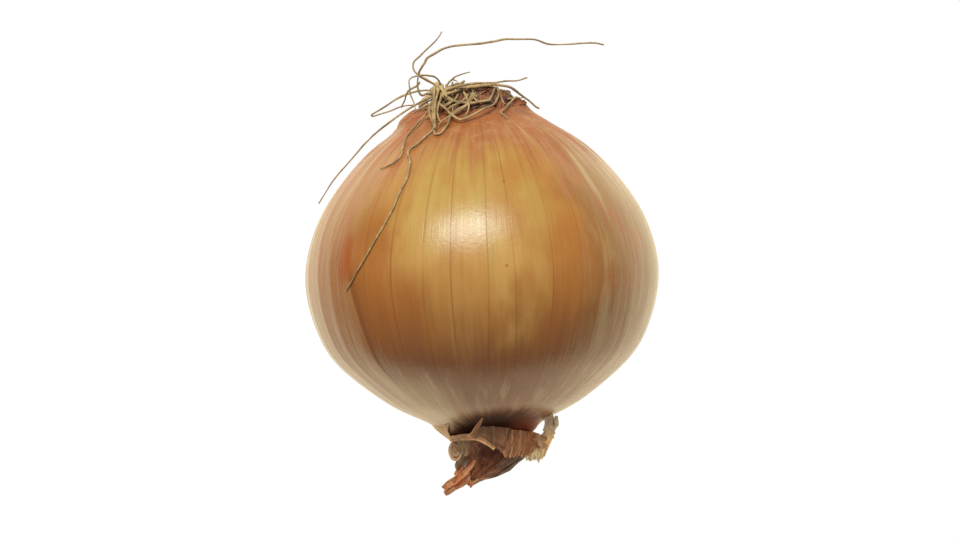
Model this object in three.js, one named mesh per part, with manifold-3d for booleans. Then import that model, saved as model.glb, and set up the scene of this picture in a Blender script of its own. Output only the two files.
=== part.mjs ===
// A dry brown onion lying on its side.
//
// Units are millimetres and +Z is up. The origin is the centre of the small flat spot that the bulb
// rests on. The bulb's own axis lies along Y, with the roots at +Y and the dried neck at -Y.
// Each piece is drawn in the onion's frame, which is the part's frame lifted to the bulb's axis: x is
// to the right, y runs along the axis towards the roots, and z is up from the axis.

import * as THREE from "three";
import { mergeVertices } from "three/addons/utils/BufferGeometryUtils.js";
import Module from "manifold-3d";

const wasm = await Module();
wasm.setup();

// ---------------------------------------------------------------- driving dimensions

const BULB_RADIUS = 40;
const REST_CUT = 1; // depth of the flat spot, taken off the bulb's lowest line
const AXIS_HEIGHT = BULB_RADIUS - REST_CUT;
const CLEARANCE = 0.3; // gap between neighbouring pieces

const THROAT_Y = -35.6; // where the bulb ends and the neck starts
const THROAT_RADIUS = 10.6;
const RIM_Y = 38.4; // torn edge of the skin around the root plate
const RIM_RADIUS = 11.2;

const PLATE_RADIUS = 9.8;
const PLATE_SEAT_Y = 36.6; // floor of the recess that holds the root plate
const PLATE_TOP_Y = 42.3;

const NECK_BASE_RADIUS = 10.2;

const COLLAR_RADIUS = 11.5;
const COLLAR_WALL = 0.7;
const COLLAR_TOP_Y = -36;

const ROOT_DIAMETER = 0.7;
const ROOT_SIDES = 6;
const ROOT_STEP = 1.6; // length of one straight stretch of a root

const BULB_SEGMENTS = 48;
const BULB_ROWS = 34;

// Outline of the bulb from the throat to the rim, as [radius, y].
const BULB_OUTLINE = [
  [THROAT_RADIUS, THROAT_Y],
  [13, -33.4],
  [22.4, -28.4],
  [33.3, -19.3],
  [38.2, -10.2],
  [BULB_RADIUS, 0],
  [38, 10.2],
  [33.1, 19.3],
  [25, 28.4],
  [16.7, 34.2],
  [13.2, 36.4],
  [RIM_RADIUS, RIM_Y],
];

// The shoulder where an older skin ends, low on the left of the root end.
const SHOULDER = { angle: Math.PI, y: 36.8, height: 3.4, length: 2.4 };

// ---------------------------------------------------------------- materials

const material = (color, roughness) => new THREE.MeshStandardMaterial({ color, roughness, metalness: 0 });

const GOLDEN_SKIN = material(0xc08a3e, 0.35);
const TORN_SKIN = material(0x9a7048, 0.6);
const RUSTY_NECK = material(0x7a3f22, 0.6);
const CORKY_PLATE = material(0x4a3328, 0.9);
const DRY_ROOT = material(0xa08a5e, 0.8);

// ---------------------------------------------------------------- shared shaping

const outline = new THREE.SplineCurve(BULB_OUTLINE.map(([r, y]) => new THREE.Vector2(r, y)));
const outlinePoints = outline.getPoints(BULB_ROWS);

// Radius of the plain bulb at a station along its axis.
function skinRadius(y) {
  const next = outlinePoints.findIndex((p) => p.y > y);
  if (next < 1) return next === 0 ? THROAT_RADIUS : RIM_RADIUS;
  const [a, b] = [outlinePoints[next - 1], outlinePoints[next]];
  return THREE.MathUtils.mapLinear(y, a.y, b.y, a.x, b.x);
}

// Merges shared vertices, so that the geometry is one closed surface.
function closed(geometry) {
  geometry.deleteAttribute("normal");
  geometry.deleteAttribute("uv");
  return mergeVertices(geometry, 1e-3);
}

function toSolid(geometry) {
  const merged = closed(geometry);
  return new wasm.Manifold(
    new wasm.Mesh({
      numProp: 3,
      vertProperties: merged.attributes.position.array,
      triVerts: new Uint32Array(merged.index.array),
    }),
  );
}

function fromSolid(solid) {
  const mesh = solid.getMesh();
  const geometry = new THREE.BufferGeometry();
  geometry.setAttribute("position", new THREE.BufferAttribute(mesh.vertProperties, 3));
  geometry.setIndex(new THREE.BufferAttribute(mesh.triVerts, 1));
  geometry.computeVertexNormals();
  return geometry;
}

// Moves every vertex of a geometry with move(point).
function reshape(geometry, move) {
  const position = geometry.attributes.position;
  const point = new THREE.Vector3();
  for (let i = 0; i < position.count; i += 1) {
    point.fromBufferAttribute(position, i);
    move(point);
    position.setXYZ(i, point.x, point.y, point.z);
  }
  return geometry;
}

const smoothCurve = (points) =>
  new THREE.CatmullRomCurve3(points.map(([x, y, z]) => new THREE.Vector3(x, y, z)), false, "centripetal");

// A closed body that follows a curve, with the half sizes upAt(t) and acrossAt(t) of its section.
function taperedBody(curve, upAt, acrossAt, sides, rows) {
  const frames = curve.computeFrenetFrames(rows, false);
  return reshape(new THREE.CylinderGeometry(1, 1, 1, sides, rows), (p) => {
    const t = THREE.MathUtils.clamp(0.5 - p.y, 0, 1);
    const row = Math.round(t * rows);
    const up = frames.normals[row].clone().multiplyScalar(p.x * upAt(t));
    const across = frames.binormals[row].clone().multiplyScalar(p.z * acrossAt(t));
    p.copy(curve.getPointAt(t)).add(up).add(across);
  });
}

// ---------------------------------------------------------------- the bulb

function bulb() {
  const profile = [
    new THREE.Vector2(0, THROAT_Y),
    ...outlinePoints,
    new THREE.Vector2(PLATE_RADIUS + CLEARANCE, RIM_Y - 0.2),
    new THREE.Vector2(PLATE_RADIUS + CLEARANCE, PLATE_SEAT_Y),
    new THREE.Vector2(0, PLATE_SEAT_Y),
  ];
  const lathe = reshape(new THREE.LatheGeometry(profile, BULB_SEGMENTS), (p) => {
    const radius = Math.hypot(p.x, p.z);
    if (radius < RIM_RADIUS - 0.5) return;
    const turn = Math.cos(Math.atan2(p.z, p.x) - SHOULDER.angle);
    const reach = Math.exp(-(((p.y - SHOULDER.y) / SHOULDER.length) ** 2));
    const swell = SHOULDER.height * reach * Math.max(0, turn) ** 3;
    p.x *= 1 + swell / radius;
    p.z *= 1 + swell / radius;
  });
  const span = 4 * BULB_RADIUS;
  const floor = new THREE.BoxGeometry(span, span, span);
  floor.translate(0, 0, -AXIS_HEIGHT - span / 2);
  return fromSolid(toSolid(lathe).subtract(toSolid(floor)));
}

// ---------------------------------------------------------------- the root end

// Outline of the root plate's dome, as [radius, y].
const PLATE_OUTLINE = [
  [PLATE_RADIUS, PLATE_SEAT_Y + CLEARANCE],
  [PLATE_RADIUS, 38.4],
  [9.2, 39.6],
  [8, 40.6],
  [6.6, 41.4],
  [4.8, 42],
  [2.4, PLATE_TOP_Y - 0.1],
  [0, PLATE_TOP_Y],
];

function basalPlate() {
  const profile = [[0, PLATE_SEAT_Y + CLEARANCE], ...PLATE_OUTLINE];
  return new THREE.LatheGeometry(profile.map(([r, y]) => new THREE.Vector2(r, y)), 24);
}

// The bunch from which most of the roots spring, on the upper left edge of the plate.
const KNOT = { at: [-7.2, 42.7, 6], size: [3.2, 1.9, 3.6] };

function rootKnot() {
  const knot = new THREE.SphereGeometry(1, 12, 8);
  knot.scale(...KNOT.size);
  knot.translate(...KNOT.at);
  return fromSolid(toSolid(knot).subtract(toSolid(basalPlate()).translate(0, CLEARANCE, 0)));
}

// The first point of a root that springs from the plate's dome at x and z.
function fromPlate(x, z) {
  const radius = Math.hypot(x, z);
  const above = PLATE_OUTLINE.findIndex(([r]) => r < radius);
  const [[r0, y0], [r1, y1]] = [PLATE_OUTLINE[above - 1], PLATE_OUTLINE[above]];
  return [x, THREE.MathUtils.mapLinear(radius, r0, r1, y0, y1) + ROOT_DIAMETER + CLEARANCE / 2, z];
}

// The first point of a root that springs from the bunch, towards a direction.
function fromKnot(x, y, z) {
  const way = new THREE.Vector3(x, y, z).normalize().toArray();
  return KNOT.at.map((at, i) => at + way[i] * (KNOT.size[i] + ROOT_DIAMETER / 3 + CLEARANCE));
}

// A point of a root that lies on the upper side of the bulb, at a lift above the skin.
const onSkin = (x, y, lift) => [x, y, Math.sqrt((skinRadius(y) + lift) ** 2 - x ** 2)];

// Every root's route, from where it springs to its tip.
const ROOTS = {
  root_long_right: [
    fromKnot(-0.8, 0.7, 0.5), [-11.4, 46, 9], [-11.4, 47.8, 9.6], [-10, 49.6, 10], [-5.2, 51.6, 11],
    [1, 52.2, 11], [8, 53, 10], [14, 52.8, 9], [18, 51.6, 8.4], [26.4, 51.6, 8], [29.6, 51, 8],
  ],
  root_upright: [
    fromKnot(-1, 0.5, -0.2), [-13.2, 45.4, 4.8], [-13.8, 47.8, 4.6], [-11.8, 50.3, 5.2], [-8.3, 53.5, 6],
    [-6.9, 55.5, 6],
  ],
  root_hook: [fromKnot(-1, -0.1, 0.6), [-12.6, 41.6, 11], [-13.4, 42.8, 12], [-13.8, 44.6, 12]],
  root_loop: [
    fromKnot(-0.2, 0.4, 1), [-9.6, 45.4, 12.4], [-13.2, 45.8, 13.8], [-15.6, 44.2, 14.2], [-15.6, 41.2, 14.2],
    [-14.8, 38.6, 14.6],
  ],
  root_long_loop: [
    fromKnot(-1, 0, -0.6), [-15.6, 42, 3], [-19.6, 40, 2.4], [-23.6, 38, 1.4], [-23.8, 37, 0.8],
    [-19.6, 37.8, 0.2], [-16.6, 38.6, 0.4],
  ],
  root_low_left: [
    fromKnot(-1, -0.8, 0.2), [-16.6, 37.4, 6.8], [-21.4, 34, 6], [-25.6, 30.4, 5], [-29.2, 26.4, 4],
    [-31.6, 23.8, 3.2], [-34, 21, 2.4], [-36.4, 17.4, 1],
  ],
  root_down_front: [
    fromPlate(-5, 8.2), [-5.8, 39.4, 14], [-6.6, 36, 17.6], onSkin(-9.4, 31.6, 1.2), onSkin(-13.6, 28.6, 1),
    onSkin(-15, 25.8, 0.9), onSkin(-15.7, 23, 0.9), onSkin(-17.5, 18.8, 0.9), onSkin(-19.6, 14.2, 0.9),
    onSkin(-24, 6.8, 0.9), onSkin(-27.2, 1.8, 0.9), onSkin(-30, -2.8, 0.9),
  ],
  root_short_left: [
    fromKnot(-0.5, -0.6, 1), [-11.2, 37, 16], onSkin(-13.4, 32.4, 2.6), onSkin(-17, 28.8, 1.6),
    onSkin(-20, 26.4, 1), onSkin(-21.8, 24.2, 0.9),
  ],
  root_top_right: [
    fromKnot(1, 0.6, 0.6), [-1.2, 44.6, 9.8], [1.7, 44.2, 10.2], [5.7, 44.2, 10.2], [9.3, 44.4, 9.6],
    [12, 44.6, 8.6],
  ],
  root_right_arc: [
    fromKnot(1, 0.4, -0.4), [1, 44, 4.8], [4.4, 43.8, 5.2], [7.2, 43.2, 5.4], [10, 42, 5], [12, 40.4, 4],
    [14.6, 37.9, 2],
  ],
  root_top_stub: [fromKnot(0.3, 1, -0.1), [-5, 46.4, 6], [-3.4, 46.9, 6.4], [-0.6, 47, 6.6]],
  root_bundle: [fromPlate(-7.2, 6.4), [-8.4, 39.6, 12.6], onSkin(-8.6, 36.6, 2.4), onSkin(-8.4, 34, 1.2)],
  root_diagonal: [
    fromPlate(-3, 9), [-2.8, 39.6, 13.4], onSkin(-2.4, 35.4, 1.4), onSkin(1.4, 35.8, 1.7), [5, 38.2, 14.8],
    [6.4, 40.4, 13.4], [5.8, 42.6, 11.4],
  ],
  root_right_stub: [
    fromPlate(8, 4), [9.4, 40.6, 7.4], [8.8, 39.8, 10.6], onSkin(6.8, 37.6, 1.8), onSkin(5.6, 36, 1.4),
    onSkin(6.8, 34.4, 1.2),
  ],
  root_middle: [fromPlate(0.4, 6.6), [-0.4, 42.2, 9.6], [-1.2, 39.6, 12], [-1.8, 38.6, 13]],
};

function root(points) {
  const route = smoothCurve(points);
  const section = new THREE.Shape(
    Array.from({ length: ROOT_SIDES }, (_, i) => {
      const turn = (2 * Math.PI * i) / ROOT_SIDES;
      return new THREE.Vector2(Math.cos(turn), Math.sin(turn)).multiplyScalar(ROOT_DIAMETER / 2);
    }),
  );
  return new THREE.ExtrudeGeometry(section, {
    extrudePath: route,
    steps: Math.max(4, Math.round(route.getLength() / ROOT_STEP)),
    bevelEnabled: false,
  });
}

// ---------------------------------------------------------------- the neck end

// Half width of the dried neck and how far it leans to the right, as [half width, lean, y].
const NECK_OUTLINE = [
  [NECK_BASE_RADIUS, 0, THROAT_Y - CLEARANCE],
  [9.4, 0.8, -38],
  [8, 1.8, -39.8],
  [6.6, 2.2, -41.4],
  [5.8, 1.4, -43],
  [5, 0, -44.6],
  [3.4, -1.6, -46.2],
  [1.6, -3.2, -47.2],
];
const NECK_TIP_Y = -47.8;
const NECK_TIP_LEAN = -4.2;

// The dried neck: a cone of leaf bases that leans over to the left and ends in a narrow strip.
function driedNeck() {
  const profile = [
    new THREE.Vector2(0, NECK_TIP_Y),
    ...NECK_OUTLINE.map(([r, , y]) => new THREE.Vector2(r, y)).reverse(),
    new THREE.Vector2(0, THROAT_Y - CLEARANCE),
  ];
  const cone = reshape(new THREE.LatheGeometry(profile, 20), (p) => {
    const row = NECK_OUTLINE.find(([, , y]) => Math.abs(y - p.y) < 0.01);
    p.x += row ? row[1] : NECK_TIP_LEAN;
  });
  const line = smoothCurve([[-1.6, -44.8, 0.6], [-5, -46.2, 1.2], [-10.4, -48.8, 2]]);
  const strip = taperedBody(line, () => 0.6, (t) => 1.5 - 0.4 * t, 8, 6);
  return fromSolid(toSolid(cone).add(toSolid(strip)));
}

// Width of the torn collar along the neck, wider towards the right, as [x, width].
const COLLAR_WIDTHS = [
  [-12, 1.4],
  [-4, 1.6],
  [-1.5, 3.8],
  [12, 6],
];

function collarWidth(x) {
  const next = Math.max(1, COLLAR_WIDTHS.findIndex(([at]) => at > x));
  const [[x0, w0], [x1, w1]] = [COLLAR_WIDTHS[next - 1], COLLAR_WIDTHS[next]];
  return THREE.MathUtils.mapLinear(x, x0, x1, w0, w1);
}

// A band of torn outer skin around the upper side of the neck, with one pointed sliver standing up.
function tornCollar() {
  const [left, right] = [THREE.MathUtils.degToRad(150), THREE.MathUtils.degToRad(20)];
  const band = new THREE.Shape();
  band.absarc(0, 0, COLLAR_RADIUS + COLLAR_WALL, left, right, true);
  band.absarc(0, 0, COLLAR_RADIUS, right, left, false);
  const ring = new THREE.ExtrudeGeometry(band, { depth: 1, bevelEnabled: false, curveSegments: 16 });
  ring.rotateX(Math.PI / 2);
  reshape(ring, (p) => {
    p.y = COLLAR_TOP_Y + p.y * collarWidth(p.x);
  });

  const sliver = new THREE.Shape([
    new THREE.Vector2(-1.6, -1.2),
    new THREE.Vector2(0.4, -1.2),
    new THREE.Vector2(1.4, 4.4),
  ]);
  const spike = new THREE.ExtrudeGeometry(sliver, { depth: COLLAR_WALL, bevelEnabled: false });
  spike.rotateX(THREE.MathUtils.degToRad(48));
  spike.translate(-2.8, COLLAR_TOP_Y, COLLAR_RADIUS + 0.2);
  return fromSolid(toSolid(ring).add(toSolid(spike)));
}

// The pale strip of skin that hooks round on the right of the neck.
function paperHook() {
  const line = smoothCurve([
    [15.1, -33.1, 1], [16.2, -34.6, 1.8], [15.4, -37, 2.6], [13.8, -39.2, 3], [11.8, -40.8, 2.8],
  ]);
  return taperedBody(line, () => 0.5, (t) => 1.4 - 0.4 * t, 8, 12);
}

// The curled scraps of skin on the left of the neck, as the lines they follow.
const SCRAPS = {
  neck_curl: [[-10.6, -36.6, 4], [-10.8, -38.4, 3.4], [-9.8, -40.2, 3.6], [-8.4, -41, 4.4]],
  neck_scrap: [[-7.6, -41.4, 1], [-7.4, -43, 0.6], [-6, -44.4, 1]],
};

const scrap = (points) => taperedBody(smoothCurve(points), () => 0.5, () => 1.2, 8, 8);

// ---------------------------------------------------------------- assembly

const onion = new THREE.Group();
onion.position.z = AXIS_HEIGHT;

function add(name, geometry, finish) {
  const mesh = new THREE.Mesh(geometry, finish);
  mesh.name = name;
  onion.add(mesh);
}

add("bulb", bulb(), GOLDEN_SKIN);
add("basal_plate", basalPlate(), CORKY_PLATE);
add("root_knot", rootKnot(), DRY_ROOT);
Object.entries(ROOTS).forEach(([name, points]) => add(name, root(points), DRY_ROOT));
add("dried_neck", driedNeck(), RUSTY_NECK);
add("torn_collar", tornCollar(), TORN_SKIN);
add("paper_hook", paperHook(), TORN_SKIN);
Object.entries(SCRAPS).forEach(([name, points]) => add(name, scrap(points), TORN_SKIN));

export default onion;
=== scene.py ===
"""A dry brown onion lying on its side on a pale floor.

Shapes are worked out in millimetres in the onion's own frame: x to the right, y along the bulb's axis
towards the roots, and z up from that axis. to_scene() puts them into the part's frame, in metres.
"""

import math
import random
from functools import reduce

import bpy
import numpy as np
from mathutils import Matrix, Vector, noise


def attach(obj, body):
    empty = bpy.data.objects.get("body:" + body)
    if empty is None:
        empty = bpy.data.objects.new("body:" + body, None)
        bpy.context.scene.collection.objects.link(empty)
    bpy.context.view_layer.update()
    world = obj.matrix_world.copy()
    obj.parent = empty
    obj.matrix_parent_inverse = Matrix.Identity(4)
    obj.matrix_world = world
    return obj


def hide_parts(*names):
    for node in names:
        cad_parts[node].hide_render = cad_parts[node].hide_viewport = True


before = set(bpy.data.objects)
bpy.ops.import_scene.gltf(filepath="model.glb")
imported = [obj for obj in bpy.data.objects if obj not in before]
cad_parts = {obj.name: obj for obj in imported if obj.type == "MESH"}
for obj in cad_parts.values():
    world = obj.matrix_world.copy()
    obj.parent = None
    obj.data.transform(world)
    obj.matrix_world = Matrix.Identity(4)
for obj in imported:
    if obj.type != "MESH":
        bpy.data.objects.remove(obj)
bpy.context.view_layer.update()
noise.seed_set(11)  # unless it's given a seed, noise_vector takes its pattern from the clock

MM = 0.001
TURN = 2 * math.pi
AXIS_HEIGHT = 39.0  # from the surface the onion rests on to the bulb's axis
BUNCH = (-7.6, 42.4, 7.5)  # the middle of the bunch of root stumps
ROOT_STEP = 0.7  # between neighbouring points along a root
KINK_SIZE = 3.1  # of the bends in a root
SCRAP_THICKNESS = 0.16
SCRAP_LUMPS = 2.2  # size of the crumples in the torn scraps

# The edge of the hollow behind the torn collar: where round the axis it comes furthest up the bulb, in
# turns, and how far it swings along the axis to either side of its middle.
HOLLOW_TURN = 0.04
HOLLOW_SWING = 8.3

# ---------------------------------------------------------------- measuring and placing


def to_scene(points):
    """Points in the onion's frame, in millimetres, as points of the part's frame, in metres."""
    return (np.asarray(points, float) + (0, 0, AXIS_HEIGHT)) * MM


def round_axis(radius, y, turn):
    """Points at that distance from the axis, that far along it and that many turns round it from the top."""
    return np.stack([radius * np.sin(turn * TURN), y, radius * np.cos(turn * TURN)], axis=1)


def read_off(at, stops, rows):
    """Rows of a table, read off between its stops."""
    return np.stack([np.interp(at, stops, column) for column in np.transpose(rows)], axis=1)


def smooth_line(points, steps=12):
    """A smooth line through the points, with that many steps to each stretch."""
    points = np.asarray(points, float)
    padded = np.vstack([2 * points[0] - points[1], points, 2 * points[-1] - points[-2]])
    t = np.linspace(0, 1, steps, endpoint=False)[:, None]
    parts = []
    for p0, p1, p2, p3 in zip(padded, padded[1:], padded[2:], padded[3:]):
        parts.append(
            0.5 * (2 * p1 + (p2 - p0) * t + (2 * p0 - 5 * p1 + 4 * p2 - p3) * t**2
                   + (3 * p1 - p0 - 3 * p2 + p3) * t**3)
        )
    return np.vstack(parts + [points[-1:]])


def evenly(line, count):
    """The same line as count points, all the same distance apart."""
    gone = np.concatenate([[0], np.cumsum(np.linalg.norm(np.diff(line, axis=0), axis=1))])
    return read_off(np.linspace(0, gone[-1], count), gone, line)


def smooth_step(t):
    return t * t * (3 - 2 * t)


def rise(value, low, high):
    """0 below low, 1 above high, and smooth between them."""
    return smooth_step(np.clip((np.asarray(value, float) - low) / (high - low), 0, 1))


def lane_noise(turn, lanes, seed):
    """Uneven heights around the bulb: a random height for each lane, smoothly joined. turn is in turns."""
    heights = np.random.default_rng(seed).uniform(-1, 1, lanes)
    place = np.mod(turn, 1) * lanes
    lane = np.floor(place).astype(int)
    t = smooth_step(place - lane)
    return heights[lane % lanes] * (1 - t) + heights[(lane + 1) % lanes] * t


def jagged(place, seed, coarse=1.0, fine=0.5):
    """An uneven torn edge: how far it reaches at each place along it, about -1 to 1."""
    return lane_noise(place * 0.37, 41, seed) * coarse + lane_noise(place * 0.91, 173, seed + 1) * fine


def crumple(points, size, seed):
    """A random push for each point, the same in all directions, with lumps of that size in millimetres."""
    shift = Vector((seed * 7.3, seed * 3.1, seed * 5.7))
    return np.array([noise.noise_vector(Vector(p) / size + shift) for p in points])


# ---------------------------------------------------------------- making pieces


def pick(*pieces):
    """Selects these pieces and nothing else, and makes the first of them active."""
    bpy.ops.object.select_all(action="DESELECT")
    for piece in pieces:
        piece.select_set(True)
    bpy.context.view_layer.objects.active = pieces[0]


def points_of(obj):
    flat = np.empty(len(obj.data.vertices) * 3)
    obj.data.vertices.foreach_get("co", flat)
    return flat.reshape(-1, 3)


def set_points(obj, points):
    obj.data.vertices.foreach_set("co", np.ascontiguousarray(points, float).ravel())
    obj.data.update()


def face_outwards(obj):
    pick(obj)
    bpy.ops.object.mode_set(mode="EDIT")
    bpy.ops.mesh.select_all(action="SELECT")
    bpy.ops.mesh.normals_make_consistent(inside=False)
    bpy.ops.object.mode_set(mode="OBJECT")


def join(pieces):
    """Joins pieces into the first one."""
    pick(*pieces)
    bpy.ops.object.join()
    return pieces[0]


def finish_piece(obj, name, material, replaces=()):
    """Names a finished piece, dresses it, and lets it ride with the onion."""
    pick(obj)
    bpy.ops.object.shade_smooth()
    obj.name = name
    obj.data.name = name
    obj.data.materials.clear()
    obj.data.materials.append(material)
    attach(obj, "root")
    if replaces:
        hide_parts(*replaces)


def ball(columns, rows, place):
    """A closed skin: a sphere whose point at (turn, t) goes to place(turn, t) in millimetres.

    turn runs -0.5 to 0.5 around the axis from the top towards +x, and t runs 0 to 1 from pole to pole.
    """
    bpy.ops.mesh.primitive_uv_sphere_add(segments=columns, ring_count=rows, radius=1)
    obj = bpy.context.object
    flat = points_of(obj)
    t = np.rint(np.arccos(np.clip(flat[:, 2], -1, 1)) / math.pi * rows) / rows
    turn = np.arctan2(flat[:, 0], -flat[:, 1]) / TURN
    set_points(obj, to_scene(place(turn, t)))
    face_outwards(obj)
    return obj


def turned(columns, profile, shape):
    """A closed skin turned on the axis from a half section, whose first and last points close it up.

    shape(turn, row, *values) gives the points for the profile's values in that row.
    """
    last = len(profile) - 1

    def place(turn, t):
        row = np.rint(t * last).astype(int)
        radius, *others = profile[row].T
        return shape(turn, row, np.where((row == 0) | (row == last), 0, radius), *others)

    return ball(columns, last, place)


def lump(columns, rows, centre, reach, uneven=0.0):
    """A ball squashed to that reach from its centre along x, y and z, with uneven sides."""
    def place(turn, t):
        ring = np.sin(t * math.pi)
        return np.stack([
            centre[0] + reach[0] * ring * np.sin(turn * TURN) * (1 + uneven * np.sin(turn * 57)),
            centre[1] + reach[1] * np.cos(t * math.pi),
            centre[2] + reach[2] * ring * np.cos(turn * TURN)], axis=1)

    return ball(columns, rows, place)


def sheet(columns, rows, place, thickness):
    """A thin skin: a grid whose point at (u, v), each 0 to 1, goes to place(u, v) in millimetres."""
    bpy.ops.mesh.primitive_grid_add(x_subdivisions=columns, y_subdivisions=rows, size=2)
    obj = bpy.context.object
    flat = points_of(obj)
    set_points(obj, to_scene(place((flat[:, 0] + 1) / 2, (flat[:, 1] + 1) / 2)))
    wall = obj.modifiers.new("wall", "SOLIDIFY")
    wall.thickness = thickness * MM
    wall.offset = 0
    bpy.ops.object.modifier_apply(modifier=wall.name)
    face_outwards(obj)
    return obj


def ribbon(route, width, facing, curl, rough, seed, columns=10, rows=40):
    """A strip of dry skin along a route: width(v) across, its face towards facing, curled and crumpled."""
    line = evenly(smooth_line(route), 200)
    ahead = np.gradient(line, axis=0)
    ahead /= np.linalg.norm(ahead, axis=1)[:, None]
    across = np.cross(ahead, facing)
    across /= np.linalg.norm(across, axis=1)[:, None]
    up = np.cross(across, ahead)
    stops = np.linspace(0, 1, len(line))

    def place(u, v):
        side = (u - 0.5) * width(v)
        lift = curl * (4 * (u - 0.5) ** 2 - 0.5)
        points = (read_off(v, stops, line) + read_off(v, stops, across) * side[:, None]
                  + read_off(v, stops, up) * lift[:, None])
        return points + crumple(points, SCRAP_LUMPS, seed) * rough

    return sheet(columns, rows, place, SCRAP_THICKNESS)


def strand(route, thickness, tip, kinks, seed):
    """A dry root along a route, with small kinks. Its tip is that share of the thickness it starts with."""
    line = smooth_line(route)
    length = np.linalg.norm(np.diff(line, axis=0), axis=1).sum()
    line = evenly(line, max(8, int(length / ROOT_STEP)))
    gone = np.linspace(0, 1, len(line))
    line = line + crumple(line, KINK_SIZE, seed) * kinks * np.minimum(1, gone * 6)[:, None]
    taper = 1 - (1 - tip) * gone ** 1.5
    bpy.ops.curve.primitive_nurbs_path_add()
    obj = bpy.context.object
    spline = obj.data.splines[0]
    spline.points.add(len(line) - len(spline.points))
    for index, (at, size) in enumerate(zip(to_scene(line), taper)):
        lumps = 1 + 0.3 * noise.noise(Vector((index * 0.23, seed * 1.7, 0)))
        spline.points[index].co = (*at, 1)
        spline.points[index].radius = size * lumps
    spline.order_u = 3
    spline.use_endpoint_u = True
    spline.resolution_u = 2
    obj.data.bevel_depth = thickness / 2 * MM
    obj.data.bevel_resolution = 1
    obj.data.use_fill_caps = True
    bpy.ops.object.convert(target="MESH")
    face_outwards(obj)
    return obj


# ---------------------------------------------------------------- shader building


class Bench:
    """Holds the node tree that is being wired up."""
    tree = None


def set_inputs(node, inputs):
    """Sets a node's inputs. Each is a value, or another node's output, which is linked."""
    for socket, value in inputs.items():
        if isinstance(value, bpy.types.NodeSocket):
            Bench.tree.links.new(value, node.inputs[socket])
        else:
            node.inputs[socket].default_value = value


def add_node(kind, inputs=None, **settings):
    node = Bench.tree.nodes.new(kind)
    for key, value in settings.items():
        setattr(node, key, value)
    set_inputs(node, inputs or {})
    return node


def maths(operation, *values):
    return add_node("ShaderNodeMath", dict(enumerate(values)), operation=operation).outputs[0]


def plus(*values):
    return reduce(lambda first, second: maths("ADD", first, second), values)


def times(*values):
    return reduce(lambda first, second: maths("MULTIPLY", first, second), values)


def minus(first, second):
    return maths("SUBTRACT", first, second)


def over(first, second):
    return maths("DIVIDE", first, second)


def axes(place):
    return add_node("ShaderNodeSeparateXYZ", {"Vector": place}).outputs


def vector(x, y, z):
    return add_node("ShaderNodeCombineXYZ", {"X": x, "Y": y, "Z": z}).outputs[0]


def vector_maths(operation, inputs, output="Vector"):
    return add_node("ShaderNodeVectorMath", inputs, operation=operation).outputs[output]


def noise_of(place, scale, detail=3.0, roughness=0.5):
    return add_node("ShaderNodeTexNoise", {
        "Vector": place, "Scale": scale, "Detail": detail, "Roughness": roughness}).outputs["Fac"]


def ramp(value, low, high, to_low=0.0, to_high=1.0):
    """Value mapped smoothly from low..high to to_low..to_high."""
    return add_node("ShaderNodeMapRange", {
        "Value": value, "From Min": low, "From Max": high, "To Min": to_low, "To Max": to_high,
    }, interpolation_type="SMOOTHSTEP").outputs["Result"]


def sway(noise_value, low, high):
    """Noise spread over low..high. Noise seldom leaves 0.3 to 0.7."""
    return ramp(noise_value, 0.3, 0.7, low, high)


def blend(factor, first, second, mode="MIX"):
    """Two colours blended. In a Mix node, inputs 6 and 7 and output 2 are the colour ones."""
    first, second = [one if isinstance(one, bpy.types.NodeSocket) else (*one, 1) for one in (first, second)]
    inputs = {0: factor, 6: first, 7: second}
    return add_node("ShaderNodeMix", inputs, data_type="RGBA", blend_type=mode).outputs[2]


def layered(colour, *layers):
    """The colour under layers, each a colour that shows by the product of its masks."""
    for paint, *masks in layers:
        colour = blend(times(*masks), colour, paint)
    return colour


def new_group(name, inputs, outputs):
    """A shader node group with float sockets, or vector ones where the default is a tuple."""
    tree = Bench.tree = bpy.data.node_groups.new(name, "ShaderNodeTree")
    for socket, default in inputs.items():
        kind = "NodeSocketVector" if isinstance(default, tuple) else "NodeSocketFloat"
        made = tree.interface.new_socket(socket, in_out="INPUT", socket_type=kind)
        made.default_value = default
    for socket in outputs:
        tree.interface.new_socket(socket, in_out="OUTPUT", socket_type="NodeSocketFloat")
    return tree, add_node("NodeGroupInput").outputs, add_node("NodeGroupOutput")


def use_group(group, **inputs):
    return add_node("ShaderNodeGroup", inputs, node_tree=group).outputs


def make_place_group():
    """How far round the axis from the top (in turns), how far along it and how far from it."""
    group, given, result = new_group(
        "Around the axis", {"Place": (0.0, 0.0, 0.0)}, ["Turn", "Along", "Radius"])
    x, y, z = axes(given["Place"])
    set_inputs(result, {
        "Turn": over(maths("ARCTAN2", x, z), TURN), "Along": y,
        "Radius": maths("SQRT", plus(times(x, x), times(z, z)))})
    return group


def make_streak_group():
    """Streaks that run along the bulb from end to end and close up towards its ends."""
    group, given, result = new_group("Lengthwise streaks", {
        "Place": (0.0, 0.0, 0.0), "Lanes": 12.0, "Length": 30.0, "Seed": 0.0, "Detail": 4.0}, ["Streaks"])
    x, y, z = axes(given["Place"])
    outwards = vector_maths("NORMALIZE", {0: vector(x, z, 0.0)})
    spread = vector_maths("SCALE", {0: outwards, "Scale": given["Lanes"]})
    lift = vector(0.0, 0.0, plus(over(y, given["Length"]), given["Seed"]))
    where = vector_maths("ADD", {0: spread, 1: lift})
    set_inputs(result, {"Streaks": noise_of(where, 1.0, given["Detail"], 0.6)})
    return group


def streaks(place, lanes, length, seed, detail=4.0):
    return use_group(STREAKS, Place=place, Lanes=lanes, Length=length, Seed=seed, Detail=detail)["Streaks"]


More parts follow.
